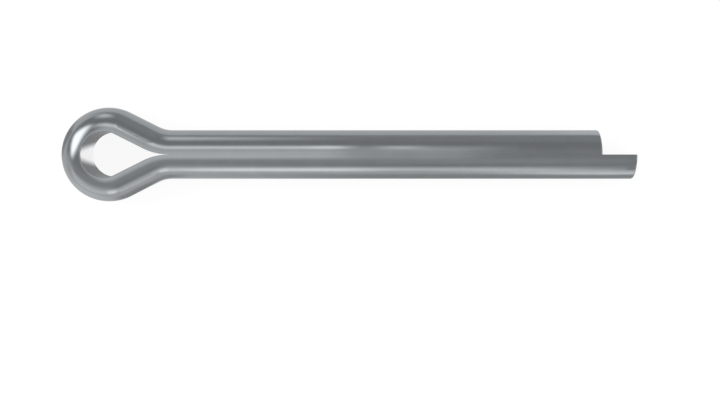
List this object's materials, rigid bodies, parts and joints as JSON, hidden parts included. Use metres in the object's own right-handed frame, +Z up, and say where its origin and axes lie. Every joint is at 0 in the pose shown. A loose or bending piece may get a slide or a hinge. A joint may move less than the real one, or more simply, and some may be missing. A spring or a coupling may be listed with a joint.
{
  "type": "cotter pin",
  "caption": "Split cotter pin folded from half-round wire, with a teardrop eye, a closed round shank and legs of unequal length.",
  "frame": {"origin": "on the axis of the closed shank, where the two flats come together below the eye", "axes": "+X along the shank towards the leg ends, +Y towards the short leg, +Z up, square to the plane of the eye, with the pin lying on its side"},
  "size_m": [0.0525, 0.0086, 0.0044],
  "materials": {
    "zinc_steel": "bright zinc plate over drawn steel wire, satin"
  },
  "bodies": {
    "root": {"cotter_pin": "zinc_steel"}
  },
  "joints": []
}
